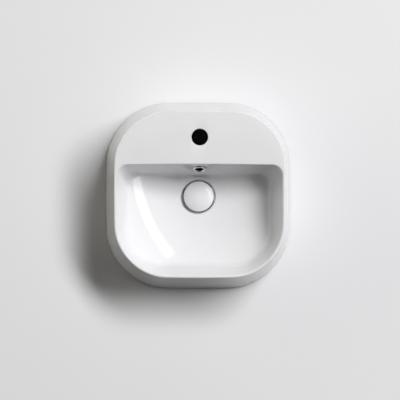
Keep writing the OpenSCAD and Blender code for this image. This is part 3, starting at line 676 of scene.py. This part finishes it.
def hexagon_nut(name, across_flats, bore_r, low, high, chamfer):
    """Hexagon nut whose corners are taken off by a cone at both ends, as a turned nut's are."""
    corner_r = across_flats / math.sqrt(3)
    profile = np.concatenate([
        [(bore_r + 0.4, low), (across_flats / 2 - 0.3, low)], wall_rows(corner_r, low + chamfer, high - chamfer, 0.5),
        [(across_flats / 2 - 0.3, high), (bore_r + 0.4, high), (bore_r, high - 0.4), (bore_r, low + 0.4)],
    ])
    steps = np.linspace(0, 1, 6)[1:-1, None]
    lower, upper = mix(profile[1], profile[2], steps), mix(profile[-5], profile[-4], steps)
    rows = np.concatenate([profile[:2], lower, profile[2:-4], upper, profile[-4:]])
    return turned(name, rows, 144, flats(across_flats, low, high), smooth_below=20)


def toothed_ring():
    """Index ring: a bored ring whose upper end is a crown of saw teeth."""
    inner_r, outer_r, top = STEM_R + 0.05, 5.3, INDEX_Z + INDEX_H
    profile = np.array([(inner_r, INDEX_Z), (outer_r, INDEX_Z), (outer_r, INDEX_Z + 2), (outer_r, top),
                        ((inner_r + outer_r) / 2, top), (inner_r, top), (inner_r, INDEX_Z + 2)])
    return turned("toothed_ring", profile, 160, teeth(top - TOOTH_H, top, 1))


def toothed_guide():
    """Guide that closes the barrel: a head on the neck, and saw teeth on the end inside the barrel."""
    inner_r, outer_r, head_r = STEM_R + 0.05, 5.55, 7.2
    profile = np.array([(inner_r, GUIDE_Z), ((inner_r + outer_r) / 2, GUIDE_Z), (outer_r, GUIDE_Z),
                        (outer_r, GUIDE_Z + 2), (outer_r, GUIDE_Z + 4), (head_r, GUIDE_Z + 4),
                        (head_r, GUIDE_TOP_Z - 0.5), (head_r - 0.5, GUIDE_TOP_Z), (inner_r, GUIDE_TOP_Z),
                        (inner_r, GUIDE_Z + 2)])
    return turned("toothed_guide", profile, 160, teeth(GUIDE_Z + TOOTH_H, GUIDE_Z, 1))


def coiled_spring():
    """Compression spring with closed ends, as one tube of round wire.

    The wire's centre goes round at a steady radius. It climbs hardly more than the wire's thickness over the first
    and the last turn, and evenly over the turns between. Round it stand upright circles.
    """
    turn = np.linspace(0, SPRING_TURNS, SPRING_TURNS * 40 + 1)[::-1, None]
    rise, closed = SPRING_H - 2 * WIRE_R - 0.1, 2 * WIRE_R + 0.05
    level = np.interp(turn, [0, 1, SPRING_TURNS - 1, SPRING_TURNS], [0, closed, rise - closed, rise])
    angle, b = 2 * np.pi * turn, np.linspace(0, 2 * np.pi, 12, endpoint=False)
    r, z = SPRING_R + WIRE_R * np.cos(b), SPRING_Z + WIRE_R + 0.05 + level + WIRE_R * np.sin(b)
    rings = np.stack([r * np.cos(angle), WASTE_Y + r * np.sin(angle), z], -1)
    return skinned("coiled_spring", rings)


# Materials

def linear(hex_colour):
    """Linear colour of an sRGB hex value."""
    parts = [int(hex_colour[i:i + 2], 16) / 255 for i in (1, 3, 5)]
    return tuple(c / 12.92 if c <= 0.04045 else ((c + 0.055) / 1.055) ** 2.4 for c in parts) + (1,)


def add(tree, kind, inputs=None, **settings):
    """Adds a node; inputs holds a value or another node's output for each socket."""
    node = tree.nodes.new(kind)
    for name, value in settings.items():
        setattr(node, name, value)
    for name, value in (inputs or {}).items():
        if isinstance(value, bpy.types.NodeSocket):
            tree.links.new(value, node.inputs[name])
        else:
            node.inputs[name].default_value = value
    return node


def start_material(name):
    """A material with an empty tree, and the object coordinates that its patterns read, in metres."""
    material = bpy.data.materials.new(name)
    material.use_nodes = True
    tree = material.node_tree
    tree.nodes.clear()
    return material, tree, add(tree, "ShaderNodeTexCoord").outputs["Object"]


def end_material(material, colour, roughness, height=None, height_mm=0.0, **sockets):
    """Joins colour, roughness and bump height, each a pattern or a plain value, in the surface."""
    tree = material.node_tree
    inputs = {"Base Color": colour, "Roughness": roughness, **sockets}
    if height is not None:
        bump = add(tree, "ShaderNodeBump", {"Height": height, "Distance": height_mm / 1000, "Strength": 1.0})
        inputs["Normal"] = bump.outputs["Normal"]
    shader = add(tree, "ShaderNodeBsdfPrincipled", inputs)
    add(tree, "ShaderNodeOutputMaterial", {"Surface": shader.outputs["BSDF"]})
    return material


def clouds(tree, place, size_mm, detail, pairs):
    """Soft patches of one size, turned into each pair of values: two colours, or two numbers."""
    patches = add(tree, "ShaderNodeTexNoise", {"Vector": place, "Scale": 1000 / size_mm, "Detail": detail})
    share = add(tree, "ShaderNodeMapRange", {"Value": patches.outputs["Fac"], "From Min": 0.3, "From Max": 0.7})
    results = []
    for low, high in pairs:
        if isinstance(low, str):
            blend = add(tree, "ShaderNodeMix", {"Factor": share.outputs["Result"], 6: linear(low), 7: linear(high)},
                        data_type="RGBA")
            results.append(blend.outputs[2])
        else:
            level = add(tree, "ShaderNodeMapRange", {"Value": share.outputs["Result"], "To Min": low, "To Max": high})
            results.append(level.outputs["Result"])
    return results


def glazed_china():
    """Slip-cast vitreous china under a white glaze: even and glossy, so that highlights stay sharp.

    The glaze ran a little while it was fired. That leaves waves about 14 mm long and 0.006 mm high, which bend the
    edges of a reflection, and a tone that drifts over the width of a hand where it lies thicker.
    """
    material, tree, place = start_material("glazed_vitreous_china")
    colour, roughness = clouds(tree, place, 70, 2.0, [("#EAEAEC", "#EDEDEF"), (0.03, 0.05)])
    wave, = clouds(tree, place, 14, 1.0, [(0.0, 1.0)])
    return end_material(material, colour, roughness, wave, 0.006, IOR=1.5)


def fired_clay():
    """The casting where it was left bare: dull cream clay with fine grit and a few rust-brown iron specks.

    The grit is 0.7 mm, about twice as coarse as it really is, so that it shows.
    """
    material, tree, place = start_material("bare_fired_clay")
    ground, roughness = clouds(tree, place, 40, 4.0, [("#CFC7B7", "#DDD6C8"), (0.78, 0.9)])
    specks = add(tree, "ShaderNodeTexNoise", {"Vector": place, "Scale": 1000 / 1.6, "Detail": 0.0})
    spots = add(tree, "ShaderNodeMapRange", {"Value": specks.outputs["Fac"], "From Min": 0.73, "From Max": 0.79})
    colour = add(tree, "ShaderNodeMix", {"Factor": spots.outputs["Result"], 6: ground, 7: linear("#A8937A")},
                 data_type="RGBA")
    grit, = clouds(tree, place, 0.7, 2.0, [(0.0, 1.0)])
    return end_material(material, colour.outputs[2], roughness, grit, 0.05)


def chrome_plate():
    """Brass, buffed and plated with bright chrome: a cool mirror with a faint film from wiping.

    Buffing leaves waves about 5 mm long, far too flat to feel, which soften what the mirror shows.
    """
    material, tree, place = start_material("chrome_plate")
    colour, roughness = clouds(tree, place, 14, 3.0, [("#B4B6B9", "#C0C2C5"), (0.05, 0.1)])
    wave, = clouds(tree, place, 5, 1.0, [(0.0, 1.0)])
    return end_material(material, colour, roughness, wave, 0.003, Metallic=1.0)


def moulded_polypropylene():
    """Black polypropylene from a spark-eroded mould: a satin face with a fine pebble, 0.4 mm across."""
    material, tree, place = start_material("moulded_polypropylene")
    colour, roughness = clouds(tree, place, 8, 2.0, [("#0B0B0B", "#111111"), (0.4, 0.5)])
    pebble, = clouds(tree, place, 0.4, 1.0, [(0.0, 1.0)])
    return end_material(material, colour, roughness, pebble, 0.02)


def nitrile_rubber():
    """Moulded nitrile rubber: dull black, greyed in patches by the wax that blooms out of it."""
    material, tree, place = start_material("moulded_nitrile_rubber")
    colour, roughness = clouds(tree, place, 6, 4.0, [("#141414", "#242322"), (0.6, 0.8)])
    skin, = clouds(tree, place, 0.8, 2.0, [(0.0, 1.0)])
    return end_material(material, colour, roughness, skin, 0.02)


def turned_brass():
    """Free-cutting brass from the lathe, unplated: warm yellow, with browner patches where it has been handled.

    The tool leaves rings on faces and bands on walls, all round the waste's axis. Their pitch is 0.4 mm, about
    three times the real feed, so that they show.
    """
    material, tree, place = start_material("turned_brass")
    colour, roughness = clouds(tree, place, 7, 4.0, [("#B08F4C", "#CBAE66"), (0.36, 0.24)])
    centred = add(tree, "ShaderNodeMapping", {"Vector": place, "Location": (0, -WASTE_Y / 1000, 0)})
    # A wave texture of scale 1 has 20 / (2 pi) waves in a metre
    scale = 1000 / 0.4 * 2 * math.pi / 20
    wave = {"Vector": centred.outputs["Vector"], "Scale": scale, "Distortion": 0.3}
    rings = add(tree, "ShaderNodeTexWave", wave, wave_type="RINGS", rings_direction="Z")
    bands = add(tree, "ShaderNodeTexWave", wave, wave_type="BANDS", bands_direction="Z")
    marks = add(tree, "ShaderNodeMath", {0: rings.outputs["Fac"], 1: bands.outputs["Fac"]}, operation="ADD")
    return end_material(material, colour, roughness, marks.outputs["Value"], 0.003, Metallic=1.0)


def drawn_steel():
    """Stainless steel, drawn and pickled: a grey, slightly milky metal with a fine grain of 0.3 mm."""
    material, tree, place = start_material("drawn_stainless_steel")
    colour, roughness = clouds(tree, place, 4, 3.0, [("#94938E", "#AAA9A5"), (0.34, 0.24)])
    grain, = clouds(tree, place, 0.3, 2.0, [(0.0, 1.0)])
    return end_material(material, colour, roughness, grain, 0.003, Metallic=1.0)


def moulded_acetal():
    """White acetal: waxy and slightly cream, with weak flow marks from the mould."""
    material, tree, place = start_material("moulded_acetal")
    colour, roughness = clouds(tree, place, 9, 3.0, [("#E1DED5", "#EAE8E1"), (0.36, 0.44)])
    flow, = clouds(tree, place, 2.5, 2.0, [(0.0, 1.0)])
    return end_material(material, colour, roughness, flow, 0.01, IOR=1.48)


GLAZE, CLAY, CHROME = glazed_china(), fired_clay(), chrome_plate()
BLACK_PLASTIC, RUBBER, ACETAL = moulded_polypropylene(), nitrile_rubber(), moulded_acetal()
BRASS, STEEL = turned_brass(), drawn_steel()


def dress(piece, body, slot, materials, *nodes):
    """Gives a piece its materials and its body, and hides the nodes that it stands for. The slot argument is not
    used.
    """
    for material in materials:
        piece.data.materials.append(material)
    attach(piece, body)
    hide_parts(*nodes)


dress(glazed_body(), "basin_body", "vitreous_china", [GLAZE, CLAY], "basin", "overflow_casing")

IN_BASIN, ON_CAP = "basin_body", "push_cap"
PIECES = [
    (overflow_ring(), IN_BASIN, "chrome", CHROME, "overflow_collar"),
    (barbed_sleeve(), IN_BASIN, "black_polypropylene", BLACK_PLASTIC, "overflow_sleeve"),
    (domed_cap(), ON_CAP, "vitreous_china", GLAZE, "ceramic_cap"),
    (cap_dish(), ON_CAP, "chrome", CHROME, "cap_carrier"),
    (turned("seal_ring", tube_ring(21, 26, CARRIER_Z - 1.8, CARRIER_Z, 0.4), 160), ON_CAP, "nitrile_rubber", RUBBER,
     "cap_seal"),
    (threaded_plunger(), ON_CAP, "brass", BRASS, "plunger"),
    (hexagon_nut("chamfered_locknut", 10, STEM_R + 0.05, LOCKNUT_Z, LOCKNUT_TOP_Z, 0.5), ON_CAP, "stainless_steel",
     STEEL, "stem_locknut"),
    (toothed_ring(), "index", "white_acetal", ACETAL, "index_ring"),
    (threaded_housing(), IN_BASIN, "brass", BRASS, "cartridge_housing"),
    (toothed_guide(), IN_BASIN, "brass", BRASS, "cartridge_collar"),
    (waste_flange(), IN_BASIN, "chrome", CHROME, "waste_body"),
    (turned("rubber_flange_ring", tube_ring(23.5, 33.5, SEAT_Z, FLANGE_Z, 0.4)), IN_BASIN, "nitrile_rubber", RUBBER,
     "flange_gasket"),
    (turned("rubber_boss_ring", tube_ring(RING_BORE, 33, GASKET_Z, BOSS_Z, 0.6)), IN_BASIN, "nitrile_rubber", RUBBER,
     "lower_gasket"),
    (turned("plastic_washer", tube_ring(RING_BORE, 32, WASHER_Z, GASKET_Z, 0.25)), IN_BASIN, "white_acetal", ACETAL,
     "slip_washer"),
    (hexagon_nut("chamfered_back_nut", 52, TAIL_R + 0.1, NUT_Z, WASHER_Z, 1.6), IN_BASIN, "brass", BRASS, "back_nut"),
]
for piece, body, slot, material, node_name in PIECES:
    dress(piece, body, slot, [material], node_name)

# The spring stands on the barrel's floor and lifts the plunger's foot. It is attached to neither body.
spring = coiled_spring()
spring.data.materials.append(STEEL)
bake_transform(spring)
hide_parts("click_spring")


# Floor, light and camera

def round_floor(radius, level, points=96):
    """A flat disc, which belongs to the setting; radius and level in millimetres."""
    angle = np.linspace(0, 2 * np.pi, points, endpoint=False)
    ring_points = np.column_stack([radius * np.cos(angle), radius * np.sin(angle), np.full(points, level)])
    floor = mesh_piece("floor", ring_points, [list(range(points))])
    floor.data.materials.append(matt_laminate())


def seen_rays(tree):
    """1 for what the camera sees, straight or by a mirror or glass, and 0 for the light that a surface sheds."""
    rays = add(tree, "ShaderNodeLightPath").outputs
    seen = add(tree, "ShaderNodeMath", {0: rays["Is Camera Ray"], 1: rays["Is Glossy Ray"]}, operation="MAXIMUM")
    seen = add(tree, "ShaderNodeMath", {0: seen.outputs["Value"], 1: rays["Is Transmission Ray"]},
               operation="MAXIMUM")
    return seen.outputs["Value"]


def matt_laminate():
    """The pale worktop: matt melamine laminate, with hardly any tone of its own and no gloss.

    It looks pale but sheds the light of a greyer board, as a worktop does that ends close round the basin.
    """
    material, tree, place = start_material("matt_laminate")
    pale, = clouds(tree, place, 300, 2.0, [("#EBEBED", "#ECECEE")])
    colour = add(tree, "ShaderNodeMix", {"Factor": seen_rays(tree), 6: linear("#C3C3C5"), 7: pale}, data_type="RGBA")
    return end_material(material, colour.outputs[2], 0.9, **{"Specular IOR Level": 0.0})


# A hair below the foot, so that the two faces don't lie in one plane
round_floor(20000, -0.5)

CAMERA_AT = Vector((-0.111, -0.062, 4.29))
AIM_AT = Vector((0.0044, -0.0098, 0))
FRAME_WIDTH = 0.8714
camera_data = bpy.data.cameras.new("camera")
camera = bpy.data.objects.new("camera", camera_data)
bpy.context.scene.collection.objects.link(camera)
camera.location = CAMERA_AT
look = (AIM_AT - CAMERA_AT).normalized()
right = look.cross(Vector((0, 1, 0))).normalized()
up = right.cross(look)
camera.rotation_euler = Matrix((right, up, -look)).transposed().to_euler()
camera_data.lens = camera_data.sensor_width / FRAME_WIDTH * (AIM_AT - CAMERA_AT).length
camera_data.clip_end = 100
bpy.context.scene.camera = camera


def softbox(name, direction, distance, size, watts, colour="#FFFFFF", mirrored=True):
    """A rectangular lamp that looks at the basin from one direction; distance and size in metres.

    One that isn't mirrored lights matt surfaces alone and shows in no gloss.
    """
    data = bpy.data.lights.new(name, "AREA")
    data.shape = "RECTANGLE"
    data.size, data.size_y = size
    data.energy = watts
    data.color = linear(colour)[:3]
    lamp = bpy.data.objects.new(name, data)
    bpy.context.scene.collection.objects.link(lamp)
    lamp.visible_glossy = mirrored
    towards = Vector(direction).normalized()
    lamp.location = towards * distance
    lamp.rotation_euler = towards.to_track_quat("Z", "Y").to_euler()


# The main light stands behind the basin to its right. A dim strip beside it draws the highlight in the glaze,
# and a weak wide lamp stands low on the left.
WARM = "#FFFCF1"
softbox("main_softbox", (91.2, 71.2, 150), distance=9, size=(5.8, 2.0), watts=760, mirrored=False)
softbox("strip_softbox", (105.7, 47, 150), distance=7, size=(7.0, 0.8), watts=80)
softbox("left_softbox", (-1, 0.3, 0.27), distance=5, size=(4, 2.2), watts=66, colour=WARM)

world = bpy.data.worlds.new("studio")
bpy.context.scene.world = world
world.use_nodes = True
sky = world.node_tree
sky.nodes.clear()
seen = seen_rays(sky)
# The studio's walls are pale and its ceiling is dark. On matt surfaces both shed the same weak light.
way = add(sky, "ShaderNodeSeparateXYZ", {"Vector": add(sky, "ShaderNodeTexCoord").outputs["Generated"]})
room = add(sky, "ShaderNodeMapRange", {"Value": way.outputs["Z"], "From Max": 0.7, "To Min": 0.9, "To Max": 0.04})
level = add(sky, "ShaderNodeMapRange", {"Value": seen, "To Min": 0.02, "To Max": room.outputs["Result"]})
tint = add(sky, "ShaderNodeMix", {"Factor": seen, 6: linear(WARM), 7: linear("#FFFFFF")}, data_type="RGBA")
shade = add(sky, "ShaderNodeBackground", {"Color": tint.outputs[2], "Strength": level.outputs["Result"]})
add(sky, "ShaderNodeOutputWorld", {"Surface": shade.outputs["Background"]})
bpy.context.scene.view_settings.view_transform = "Standard"
